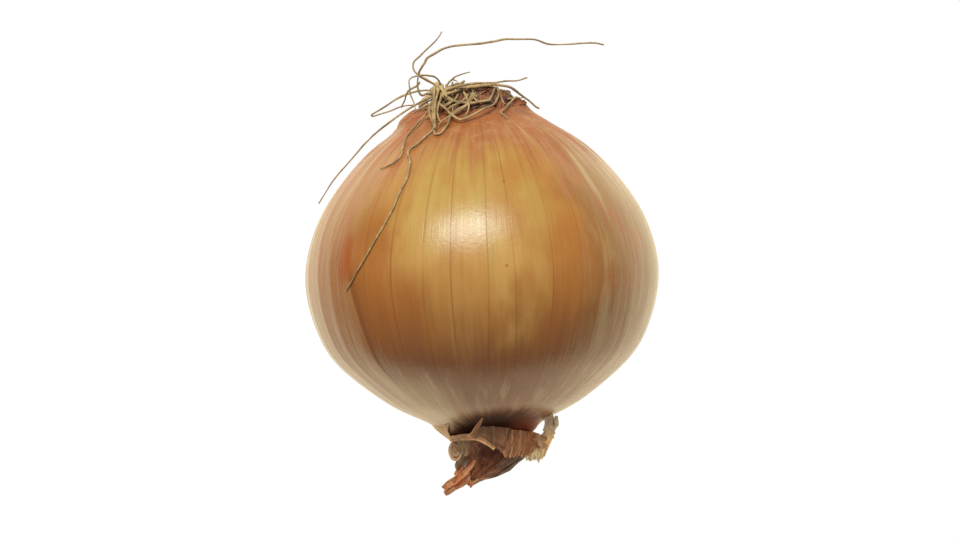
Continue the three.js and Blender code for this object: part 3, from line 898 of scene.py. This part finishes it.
# Every root's route, with its thickness and the CAD node it stands for.
ROOTS = {
    "root_long_right": (0.6, [
        (-7.8, 42.9, 5), (-9.4, 43.7, 6), (-10.7, 44.5, 7), (-12, 45.2, 8), (-12.5, 45.9, 8.8),
        (-11.7, 47.3, 9.5), (-10.8, 48.5, 9.8), (-10, 49.6, 10), (-5.2, 51.6, 11), (1.1, 52, 11),
        (7.9, 52.8, 10), (13.8, 52.5, 9), (18, 51.3, 8.4), (26.4, 51.4, 8), (29.5, 50.8, 8)]),
    "root_upright": (0.5, [
        (-8.3, 43.1, 4), (-9.8, 44, 4.6), (-11.4, 44.8, 4.9), (-12.7, 45.8, 5), (-13.5, 46.7, 5),
        (-13.8, 47.7, 5), (-13.4, 49, 5), (-11.8, 50.3, 5), (-8.3, 53.5, 6), (-6.9, 55.3, 6)]),
    "root_hook": (0.65, [
        (-8.6, 41.2, 8), (-10.9, 41.2, 9.8), (-11.6, 40.9, 10.5), (-12.2, 40.9, 11), (-12.6, 41.7, 11.5),
        (-12.8, 42.6, 11.8), (-12.8, 43.5, 12), (-12.6, 45, 12)]),
    "root_loop": (0.5, [
        (-7.7, 43, 7), (-7.9, 44, 8.6), (-8.7, 44.9, 9.9), (-9.6, 45.2, 11), (-11.2, 45.3, 12),
        (-12.6, 45.2, 12.8), (-13.9, 45, 13.4), (-14.5, 44.6, 13.8), (-14.7, 43.9, 14), (-14.5, 42.8, 14),
        (-14.4, 41.1, 14), (-13.9, 39.8, 14.2), (-13.5, 38.6, 14.8), (-13.3, 37.5, 15.5)]),
    "root_long_loop": (0.5, [
        (-9.2, 41.9, 5), (-11.2, 42.3, 3.6), (-14.2, 41.9, 3), (-17, 41, 2.5), (-19.6, 39.6, 2),
        (-21.9, 38.2, 1.5), (-23.8, 37.3, 1), (-23.1, 37, 0.7), (-19.6, 38, 0.7), (-16.4, 39, 1),
        (-13.7, 39.1, 1.6)]),
    "root_low_left": (0.5, [
        (-9.2, 40.8, 6.8), (-12.6, 39.4, 7.2), (-16.6, 37.2, 6.8), (-21.4, 34, 6), (-25.6, 30.4, 5),
        (-29.2, 26.6, 4), (-31.6, 24.2, 3.2), (-34, 21.2, 2.4), (-36.4, 17.6, 1)]),
    "root_down_front": (0.6, [
        (-9.3, 34.9, 15), (-9.6, 33, 17.2)
    ] + on_skin([
        (-10.9, 31.8, 0.8), (-12.1, 30.9, 0.7), (-13.6, 29.6, 0.6), (-14.9, 28.7, 0.5), (-15.4, 27.5, 0.5),
        (-15.1, 25.9, 0.5), (-15.2, 24.3, 0.5), (-15.9, 22, 0.4), (-17.5, 18.8, 0.4), (-19.6, 14.5, 0.4),
        (-24, 7.4, 0.4), (-27.2, 2.4, 0.4), (-30.2, -2.2, 0.4)])),
    "root_short_left": (0.55, [
        (-9.3, 40, 10), (-9.6, 38.4, 12.6), (-10.4, 37.3, 13)
    ] + on_skin([
        (-11.5, 36.2, 2.4), (-12.6, 35.2, 2.6), (-13.4, 34.3, 1.8), (-14.6, 33, 1), (-15.7, 31.5, 0.7),
        (-16.4, 29.3, 0.5), (-16.7, 27.9, 0.5), (-17.4, 26.8, 0.4), (-18.9, 25.6, 0.4), (-21.8, 24.6, 0.4)])),
    "root_top_right": (0.6, [
        (-6.5, 42, 8), (-4.9, 42.4, 8.9), (-2.2, 42.9, 9.7), (-0.4, 43.2, 10.1), (2.1, 43.3, 10.1),
        (4.8, 43.2, 9.8), (7.2, 43.4, 9.4), (10, 43.5, 8.9), (11.9, 44.1, 8.4)]),
    "root_right_arc": (0.75, [
        (-4.2, 42.3, 8), (-0.1, 42.5, 7.8), (2.9, 42.8, 7.5), (4.4, 42.9, 7), (6.1, 42.6, 6.5),
        (7.8, 42.2, 6), (9.2, 41.4, 5.4), (10.3, 40.5, 4.7), (11.2, 39.8, 3.9), (12.4, 38.9, 3),
        (13.7, 37.7, 2.2), (14.4, 37.4, 1.6)]),
    "root_top_stub": (0.5, [
        (-6.8, 42, 5), (-6.3, 43, 5.5), (-5.6, 44, 5.9), (-4.9, 44.5, 6.3), (-4.4, 45, 6.6),
        (-3.1, 45.4, 6.8), (-0.9, 45.9, 7)]),
    "root_bundle": (0.7, [
        (-9, 42.6, 7.4), (-9.2, 41.2, 9.4), (-9.3, 39.2, 11.6), (-9.5, 37.6, 13.2), (-9.6, 36.2, 14.6),
        (-9.5, 34.7, 15.9)
    ] + on_skin([
        (-9.4, 33.3, 1.0), (-9.4, 31.9, 0.7)])),
    "root_diagonal": (0.65, [
        (-9.2, 40.4, 9.6), (-8.7, 39.2, 10.8), (-7.9, 38.7, 11.6), (-6.9, 37.8, 12.6), (-5.8, 36.6, 14.2),
        (-4.5, 35.5, 15.7), (-3.5, 34.9, 16.4), (-2.3, 35.2, 16.2), (-0.6, 35.9, 15.6), (1.2, 36.9, 14.8),
        (3, 37.7, 13.4), (4.2, 38.2, 12.2), (5, 39.5, 9.8), (5.4, 40.7, 8), (5.1, 42, 5.6)]),
    "root_right_stub": (0.5, [
        (9.2, 39.9, 5.4), (8.7, 39.4, 6.4), (7.6, 38.3, 9.4), (6.4, 37.1, 11.8), (5.5, 36.5, 13),
        (6.3, 35.6, 14), (7, 34.8, 14.9)]),
    "root_middle": (0.6, [
        (-3.3, 42.7, 6), (-2.9, 42.3, 6.8), (-2.3, 41, 8.6), (-1.8, 40, 9.8), (-1.6, 38.9, 11),
        (-1.4, 38.1, 12.2), (-1.6, 37.1, 13.4), (-2.2, 36, 14.9), (-2.6, 35.5, 15.6)]),
}

# The short roots of the bunch and the ones that cross the plate from it, with their thickness.
SHORT_ROOTS = [
    (0.8, [(-7, 41, 7), (-6.3, 40.4, 8), (-5.1, 39.6, 9), (-3.6, 39.1, 9.8), (-2.7, 39, 10.2),
           (-1, 38.7, 10.8), (0.8, 39, 10.4), (2.8, 39.2, 10), (3.5, 39.8, 9.1), (4.1, 40.8, 8),
           (4.5, 42.2, 6)]),
    (0.7, [(-0.3, 41.9, 6), (-0.4, 41.3, 8), (-0.8, 40.3, 9.4), (-1.4, 39.2, 10.8), (-2.1, 38.2, 12),
           (-3.4, 37.2, 13), (-4.6, 36.5, 13.8), (-5.9, 35.8, 14.8), (-6.6, 35.3, 15.4), (-7.7, 34.7, 16),
           (-8.6, 33.8, 17)]),
    (0.5, [(-3.8, 41.9, 4), (-2, 42.2, 4.6), (-0.1, 42.3, 5), (1.4, 42.4, 5.4), (2.9, 42.6, 5.8),
           (4.4, 42.8, 6)]),
    (0.5, [(-1.1, 40, 9.2), (0.4, 40.4, 8.6), (1.4, 41, 7.6), (2.5, 41.8, 6)]),
    (0.45, [(5.6, 40.4, 7), (6, 39.6, 8), (6.4, 38.7, 9.2), (7, 38.2, 10)]),
    (0.7, [(-7.8, 38, 10.6), (-6.7, 38.4, 10.2), (-5.4, 39.2, 9.4), (-4.4, 39.9, 9), (-3.8, 41, 8),
           (-4, 42.2, 6)]),
    (0.65, [(-6.6, 37.2, 12.6), (-6, 37.6, 12), (-4.9, 38.3, 11), (-3.6, 38.8, 10.4), (-2.3, 39.8, 9.4),
            (-1.3, 41, 8)]),
    (0.6, [(-6, 36.1, 14), (-5.2, 36.5, 13.6), (-3.9, 37.4, 12.8), (-2.1, 38.3, 11.6), (-0.7, 39.7, 10),
           (0.3, 41.4, 7.6)]),
    (0.6, [(-9.4, 31.8, 19.2), (-8.1, 31.8, 19.6), (-7.3, 32.7, 18.6), (-6.4, 33.9, 17.2),
           (-5.9, 35.2, 15.6), (-5.3, 36.6, 13.8), (-5, 37.8, 12)]),
    (0.6, [(-9.1, 41, 9.4), (-9.4, 39.6, 11.4), (-10.1, 38.7, 12.4), (-10.4, 37.5, 13.6), (-10.2, 36.1, 15),
           (-9.7, 34.6, 16.4), (-9.3, 33.2, 17.9)]),
    (0.6, [(-8.1, 42.6, 7), (-8.3, 41.7, 9.6), (-8.6, 40.6, 11.2), (-8.9, 39.5, 12.4), (-9.1, 37.1, 14.4),
           (-9.2, 34.9, 16.4), (-9.1, 33.2, 18.2)]),
    (0.5, [(-7.5, 42.4, 7), (-7.7, 40.5, 10), (-8.1, 38.9, 12), (-8.6, 37.1, 14), (-8.4, 35.6, 15.4),
           (-7.8, 34.4, 16.6)]),
    (0.45, [(-12.3, 44, 9), (-12.8, 43.3, 8.5), (-14.3, 42.6, 8.1), (-15.1, 42.1, 7.5), (-15.6, 41.1, 7),
            (-15.8, 40.2, 6.4), (-16.4, 39.3, 5.7), (-16.8, 38.6, 5)]),
    (0.5, [(-8.6, 40.4, 8), (-10.2, 39.8, 7.4), (-11.6, 39.2, 7), (-12.7, 38.4, 7)]),
    (0.5, [(-8.9, 39.4, 10), (-10.7, 38.8, 9.6), (-12.3, 38, 9.6), (-14.1, 36.8, 10)]),
    (0.4, [(7.4, 39.5, 6.8), (8.9, 39.7, 5.4), (10.5, 39.7, 4.6), (11.2, 39.8, 4.2)]),
    (0.35, [(-4.9, 44.4, 6.2), (-4.4, 44.2, 6.4), (-3.8, 43.9, 6.6)]),
    (0.85, [(-8.2, 43.4, 6), (-7.6, 42.5, 8.4), (-6.9, 41.2, 9.8), (-6.3, 40.3, 10.6)]),
    (0.95, [(-7.2, 41.4, 8), (-4.9, 42.4, 7.4), (-3.4, 43.2, 6.8), (-2.2, 44, 6.2)]),
    (0.75, [(-6.8, 41, 9), (-4.3, 41.6, 8.8), (-2.7, 42.3, 8.5)]),
    (0.85, [(-7.2, 42, 6), (-5.1, 43, 5.7), (-3.5, 43.6, 5.4)]),
    (0.8, [(-8.5, 43.8, 5), (-8.4, 42.3, 7.8), (-8.3, 40.9, 10)]),
    (0.75, [(-7.6, 43.5, 5), (-7.2, 42, 8), (-7.2, 40.3, 10.7)]),
    (0.8, [(-9.1, 42.8, 7), (-9.2, 41.1, 9.9), (-9.3, 38.7, 12.4)]),
    (0.7, [(-9.8, 42.5, 6), (-9.3, 41.4, 8.2), (-8.6, 40, 10.4)]),
]


def make_roots():
    for seed, (node, (thickness, route)) in enumerate(ROOTS.items(), start=1):
        piece = strand(route, thickness, tip=0.55, kinks=0.14, seed=seed)
        finish_piece(piece, node.replace("root_", "dry_root_"), DRY_ROOT, [node])


def make_tangle():
    """The bunch of stumps on the upper left of the plate, and the short roots that cross it from there."""
    rng = random.Random(14)
    pieces = [strand(route, thickness, 0.6, 0.12, seed)
              for seed, (thickness, route) in enumerate(SHORT_ROOTS, start=30)]
    pieces.append(lump(32, 20, (-8.5, 41.4, 5.4), (1.5, 1.9, 1.5), uneven=0.2))
    for index in range(STUMPS):
        x, z = -7.4 + rng.uniform(-1.8, 2.2 if index < 12 else 4.6), 6.6 + rng.uniform(-3.4, 2.6)
        low = root_end_height(math.hypot(x, z))
        tip = (x + rng.uniform(-1.4, 1.6), low + rng.uniform(1.6, 3.4), z + rng.uniform(-1.6, 1.6))
        route = [(x * 0.9, low - 0.6, z * 0.9), (x, low + 0.9, z), tip]
        pieces.append(strand(route, rng.uniform(0.5, 0.85), 0.6, 0.3, index))
    for index in range(CROSSINGS):
        start = Vector((rng.uniform(-7, 7.5), rng.uniform(-7 if index < 12 else 2, 8)))
        reach = start + Vector((rng.uniform(-7, 7), rng.uniform(-6, 6)))
        reach *= min(1, 10.5 / max(reach.length, 1))
        bow = (reach - start).orthogonal() * rng.uniform(-0.4, 0.4)
        height = rng.uniform(0.3, 1.2)
        route = []
        for t in (0, 0.25, 0.5, 0.75, 1):
            spot = start.lerp(reach, t) + bow * math.sin(t * math.pi)
            lift = 0.3 + height * math.sin(min(t, 0.8) * math.pi)
            route.append((spot.x, root_end_height(spot.length) + lift, spot.y))
        pieces.append(strand(route, rng.uniform(0.35, 0.7), 0.4, 0.4, 60 + index))
    finish_piece(join(pieces), "root_tangle", DRY_ROOT, ["root_knot"])


# ---------------------------------------------------------------- the neck end

# The dried neck from its hidden foot to its tip, as (half width, lean to the right, y).
NECK_OUTLINE = [
    (0.01, 0, -35.4), (9.0, 0.4, -35.6), (9.2, 1.2, -37), (8.2, 2.2, -38.4), (7.4, 2.6, -39.8),
    (6.7, 2.05, -41.4), (5.6, 0.55, -43), (4.9, -0.9, -44.6), (3.9, -2.1, -45.8), (2.3, -3.5, -46.6),
    (0.95, -4.25, -47.5), (0.01, -4.5, -48),
]
NECK_ROWS = 110


def make_neck():
    """The rusty cone of leaf bases."""
    def shape(turn, row, half, lean, y):
        t = row / NECK_ROWS
        twist = turn + 0.10 * t
        folds = 0.5 * lane_noise(twist, 9, 41) + 0.3 * lane_noise(twist, 27, 42)
        folds = folds + 0.2 * lane_noise(twist, 71, 43)
        half = half + folds * rise(half, 0.5, 5) * rise(t, 0.12, 0.3)
        points = np.stack([
            lean + half * np.sin(turn * TURN), y, 0.5 + 0.92 * half * np.cos(turn * TURN)], axis=1)
        return points + crumple(points, 3.0, 6) * 0.3

    cone = turned(240, evenly(NECK_OUTLINE, NECK_ROWS + 1), shape)
    finish_piece(cone, "dry_neck", BROWN_NECK, ["dried_neck"])


def make_blade():
    """The flat rusty strips at the neck's tip."""
    strips = [
        ribbon([(-5.2, -43.9, 4.4), (-6.9, -45.4, 3.8), (-8.9, -46.9, 3.2), (-10.5, -48.1, 2.6)],
               lambda v: 2.3 - 0.9 * v, (0.1, 0.2, 1), 0.5, 0.3, 3),
        ribbon([(-4.6, -45.0, 3.8), (-6.2, -46.6, 3.2), (-8.2, -47.8, 2.8), (-10.4, -49.3, 2.3)],
               lambda v: 2.2 - 1.0 * v, (0.2, 0.3, 1), -0.4, 0.3, 4),
        ribbon([(-3.0, -41.6, 4.6), (-3.9, -42.7, 4.9), (-5.0, -44.0, 4.8), (-6.4, -45.4, 4.3),
                (-8.2, -46.8, 3.6)],
               lambda v: 0.5 + 0.6 * rise(v, 0, 0.4), (-0.3, 0, 1), 0.3, 0.3, 15),
        ribbon([(-5.0, -41.4, 4.8), (-6.4, -43.4, 3.9), (-7.8, -45.2, 3.2)],
               lambda v: 1.4 - 0.5 * v, (-0.3, 0.3, 1), 0.4, 0.3, 5),
        ribbon([(-3.4, -45.6, 4.2), (-4.0, -46.8, 3.4), (-4.5, -48.0, 2.6)],
               lambda v: 1.6 * (1 - v) + 0.2, (0, 0.4, 1), 0.4, 0.2, 16),
    ]
    finish_piece(join(strips), "dry_blade", RUSTY_BLADE)


def make_lip():
    """The pale lip of the bulb's skin that runs on down the left of the neck."""
    top = -33.2

    def place(u, v):
        turn = -0.36 + (0.249 - 0.05 * v) * u
        low = np.interp(turn, [-0.36, -0.33, -0.29, -0.25, -0.19, -0.14],
                        [-33.9, -35.6, -36.8, -37.4, -37.3, -36.9])
        y = top + (low + 0.2 * jagged(u, 51) - top) * v
        radius = np.interp(y, [-37.6, -37.2, -36.4, -35.6, -34.4, top], [8.0, 8.5, 9.6, 10.6, 11.9, 13.3])
        radius = radius - 0.25 + 0.5 * rise(v, 0, 0.4) + 0.4 * rise(u, 0.86, 1)
        radius = radius + 0.2 * lane_noise(turn, 90, 52) * v
        return round_axis(radius, y, turn)

    finish_piece(sheet(110, 24, place, 0.14), "pale_lip", LIP_SKIN)


# The torn collar from left to right: where its upper edge runs, and its lower edge, as (x, y).
COLLAR_TOP = [(-2.6, -34.9), (-1.2, -33.8), (0.9, -33.9), (2.8, -34.2), (5.6, -34.9), (8.7, -35.5),
              (10.4, -35.9), (11.9, -36.4), (13.0, -37.2)]
COLLAR_LOW = [(-3.0, -36.9), (-1.6, -37.2), (0.2, -38.0), (1.8, -39.3), (3.4, -40.6), (5.6, -41.3),
              (7.9, -41.0), (10.3, -40.6), (12.4, -39.2)]


def make_collar():
    """The torn band of outer skin over the upper side of the neck, crumpled at its right end."""
    stops = np.linspace(0, 1, len(COLLAR_TOP))

    def place(u, v):
        upper, lower = read_off(u, stops, COLLAR_TOP), read_off(u, stops, COLLAR_LOW)
        lower[:, 1] += 0.55 * jagged(u, 61, 0.8, 0.9) * rise(u, 0.3, 0.45)
        x, y = (upper + (lower - upper) * v[:, None]).T
        crumpled = rise(u, 0.80, 0.9)
        reach = 13.6 - 1.2 * v + 0.35 * lane_noise(u, 7, 63) + 0.2 * lane_noise(u, 71, 62) * rise(u, 0.3, 0.5)
        ridge = 0.6 * np.exp(-(((v - 0.62 - 0.2 * u) / 0.09) ** 2))
        reach = reach + ridge * rise(u, 0.05, 0.15) * rise(0.55 - u, 0, 0.15)
        z = np.sqrt(np.maximum(reach**2 - x**2, 50 - 8 * v)) + crumpled * 0.3 * lane_noise(v, 9, 66)
        points = np.stack([x, y, z], axis=1)
        return points + crumple(points, 1.8, 8) * (0.3 + 0.12 * crumpled)[:, None]

    band = sheet(260, 36, place, 0.2)
    crumpled_end = ribbon([(10.4, -36.7, 8.6), (11.3, -37.6, 8.6), (12.1, -38.7, 8.2), (12.5, -39.9, 7.6)],
                          lambda v: 1.7 + 0.5 * np.sin(v * 17), (0.25, 0.1, 1), 0.4, 0.45, 24, columns=14)
    finish_piece(join([band, crumpled_end]), "papery_collar", COLLAR_SKIN, ["torn_collar"])


def make_strap():
    """The peach strap from the left lip across to the collar, and the sliver that stands up from it."""
    strap = ribbon([(-8.9, -36.7, 4.6), (-7.6, -36.6, 7.2), (-6.0, -36.3, 9.4), (-4.4, -36.2, 11.0),
                    (-2.8, -36.3, 12.4), (-0.9, -37.3, 13.3), (1.4, -39.0, 13.2)],
                   lambda v: 1.5 - 0.9 * rise(v, 0.55, 1), (-0.15, -0.2, 1), 0.25, 0.12, 21, rows=70)
    sliver = ribbon([(-3.9, -36.4, 11.8), (-3.1, -35.2, 12.9), (-2.2, -33.6, 14.2), (-1.1, -31.9, 15.6)],
                    lambda v: 1.8 * (1 - v) ** 0.9 + 0.12, (0.4, 0.3, 1), 0.3, 0.12, 9)
    finish_piece(join([strap, sliver]), "peach_strap", PEACH_SKIN)


def make_curl():
    """The little roll of skin that hangs on the left."""
    def place(u, v):
        turn = u * 2.3 + 0.05
        radius = 1.5 - 1.35 * u
        x = -7.65 - 0.2 * v + radius * np.sin(turn * TURN)
        y = -39.5 + 1.6 * radius * np.cos(turn * TURN)
        points = np.stack([x, y, 6.4 - 2.6 * v - 0.15 * u], axis=1)
        return points + crumple(points, 1.5, 12) * 0.15

    roll = sheet(130, 10, place, 0.5)
    back = lump(24, 12, (-7.75, -39.5, 5.0), (1.45, 2.2, 1.15))
    finish_piece(join([roll, back]), "skin_curl", TAN_SKIN, ["neck_curl"])


def make_hook():
    """The pale strip hooked round on the right of the neck, and the flake beside it."""
    hook = ribbon([(13.0, -31.8, 5.0), (13.9, -33.2, 5.2), (14.0, -34.8, 5.0), (13.7, -36.4, 6.0),
                   (13.2, -37.8, 6.7), (12.2, -39.2, 7.0)],
                  lambda v: 2.7 + 0.5 * lane_noise(v * 0.8, 31, 71), (0.2, 0, 1), 0.25, 0.3, 11)
    flake = ribbon([(15.7, -32.6, 4.2), (15.4, -34.0, 4.2), (15.0, -35.4, 4.0)],
                   lambda v: 0.5 + 1.0 * np.sin(v * math.pi), (0.5, 0, 1), 0.3, 0.4, 20)
    finish_piece(join([hook, flake]), "pale_hook", PALE_SKIN, ["paper_hook"])


def make_scraps():
    """The brown strips and the grey scrap on the left of the neck."""
    strips = [
        ribbon([(-6.0, -36.6, 8.4), (-6.3, -38.4, 7.4), (-6.5, -39.8, 6.4), (-7.1, -41.2, 5.4)],
               lambda v: 1.7 - 0.6 * v, (-0.3, 0, 1), 0.3, 0.2, 19),
        ribbon([(-4.9, -36.6, 8.8), (-5.2, -38.6, 7.6), (-5.4, -40.6, 6.2)],
               lambda v: 1.6 - 0.5 * v, (-0.3, 0, 1), -0.4, 0.3, 22),
        ribbon([(-7.0, -36.8, 6.6), (-7.2, -38.4, 5.4), (-7.0, -40.2, 4.6)],
               lambda v: 1.5 - 0.4 * v, (-0.3, 0, 1), 0.3, 0.3, 23),
    ]
    scrap = ribbon([(-5.5, -40.6, 5.0), (-6.2, -42.0, 4.5), (-6.6, -43.3, 4.0), (-6.2, -44.4, 3.4)],
                   lambda v: 2.6 - 0.7 * v, (-0.4, 0, 1), 0.6, 0.35, 13)
    finish_piece(scrap, "skin_scrap", GREY_SKIN, ["neck_scrap"])
    finish_piece(join(strips), "brown_strips", HUSK_SKIN)


def make_ruffle():
    """The pleated yellow edge under the collar's right end."""
    def place(u, v):
        pleats = np.sin(u * 38 + 2 * np.sin(u * 7))
        x = 8.3 + 5.0 * u - 0.6 * v
        y = -39.6 + 0.6 * u - (3.0 + 0.5 * jagged(u, 81, 0.8, 0.9) - 1.2 * (2 * u - 1.1) ** 2) * v
        z = 7.8 - 1.8 * u + 0.9 * v + 0.26 * pleats * v + 0.4 * np.sin(v * math.pi)
        points = np.stack([x, y, z], axis=1)
        return points + crumple(points, 1.4, 82) * 0.3

    finish_piece(sheet(110, 24, place, 0.14), "skin_ruffle", YELLOW_SKIN)


for make in (make_bulb, make_plate, make_flake, make_husk, make_shreds, make_roots, make_tangle, make_neck,
             make_blade, make_lip, make_collar, make_strap, make_curl, make_hook, make_scraps, make_ruffle):
    make()

# ---------------------------------------------------------------- floor, light and camera

LIGHT_TILT = math.radians(39)
LIGHT_DISTANCE = 0.75
CAMERA_DISTANCE = 1.0
CAMERA_ROLL = math.radians(2.24)
FRAME_CENTRE = (-2, 5)  # from the bulb's centre to the middle of the camera's frame, in pixels
PIXEL = 0.22727 * MM  # size of a pixel at the bulb's axis


def make_floor():
    """A light table: plain white to look at, with a glow that's a little warm on the onion.

    It reaches further out on the right and past the neck than on the other two sides, so its glow is uneven.
    """
    bpy.ops.mesh.primitive_plane_add(size=1, location=(0.135, -0.15, -0.0003))
    floor = bpy.context.object
    floor.name = "light_table"
    floor.scale = (0.63, 0.74, 1)
    bpy.ops.object.transform_apply(location=True, rotation=True, scale=True)
    material, shader = new_material("light table")
    seen = add_node("ShaderNodeLightPath").outputs["Is Camera Ray"]
    set_inputs(shader, {
        "Base Color": blend(seen, (0.3, 0.3, 0.3), (0.0, 0.0, 0.0)),
        "Emission Color": blend(seen, (1.0, 0.96, 0.66), (0.7, 0.7, 0.7)), "Emission Strength": 1.45,
        "Roughness": 0.9, "Specular IOR Level": 0.0})
    floor.data.materials.append(material)


def make_lights():
    """One softbox above and beyond the root end, in a dim room that looks white to the camera."""
    bpy.ops.object.light_add(type="AREA")
    softbox = bpy.context.object
    softbox.name = "softbox"
    softbox.data.shape = "ELLIPSE"
    softbox.data.size, softbox.data.size_y = 0.50, 0.25
    softbox.data.energy = 5.85
    softbox.data.color = (0.92, 1.0, 0.94)
    softbox.location = Vector((-0.104, math.sin(LIGHT_TILT), math.cos(LIGHT_TILT))) * LIGHT_DISTANCE
    softbox.rotation_euler = (Vector((0, 0, 0.04)) - softbox.location).to_track_quat("-Z", "Y").to_euler()
    softbox.visible_camera = False

    world = bpy.data.worlds.new("room")
    bpy.context.scene.world = world
    world.use_nodes = True
    Bench.tree = world.node_tree
    room = Bench.tree.nodes["Background"]
    room.inputs["Color"].default_value = (0.26, 0.26, 0.26, 1)
    backdrop = add_node("ShaderNodeBackground", {"Color": (1.0, 1.0, 1.0, 1)})
    seen = add_node("ShaderNodeLightPath").outputs["Is Camera Ray"]
    mix = add_node("ShaderNodeMixShader", {0: seen, 1: room.outputs[0], 2: backdrop.outputs[0]})
    set_inputs(Bench.tree.nodes["World Output"], {"Surface": mix.outputs[0]})


def make_camera():
    bpy.ops.object.camera_add()
    camera = bpy.context.object
    camera.data.lens = 165
    camera.data.sensor_width = 36
    camera.data.clip_end = 20
    right = Vector((math.cos(CAMERA_ROLL), -math.sin(CAMERA_ROLL), 0))
    up = Vector((math.sin(CAMERA_ROLL), math.cos(CAMERA_ROLL), 0))
    centre = (right * FRAME_CENTRE[0] + up * FRAME_CENTRE[1]) * PIXEL
    camera.location = centre + Vector((0, 0, AXIS_HEIGHT * MM + CAMERA_DISTANCE))
    camera.rotation_euler = (0, 0, -CAMERA_ROLL)
    bpy.context.scene.camera = camera


make_floor()
make_lights()
make_camera()
bpy.context.scene.view_settings.view_transform = "Standard"
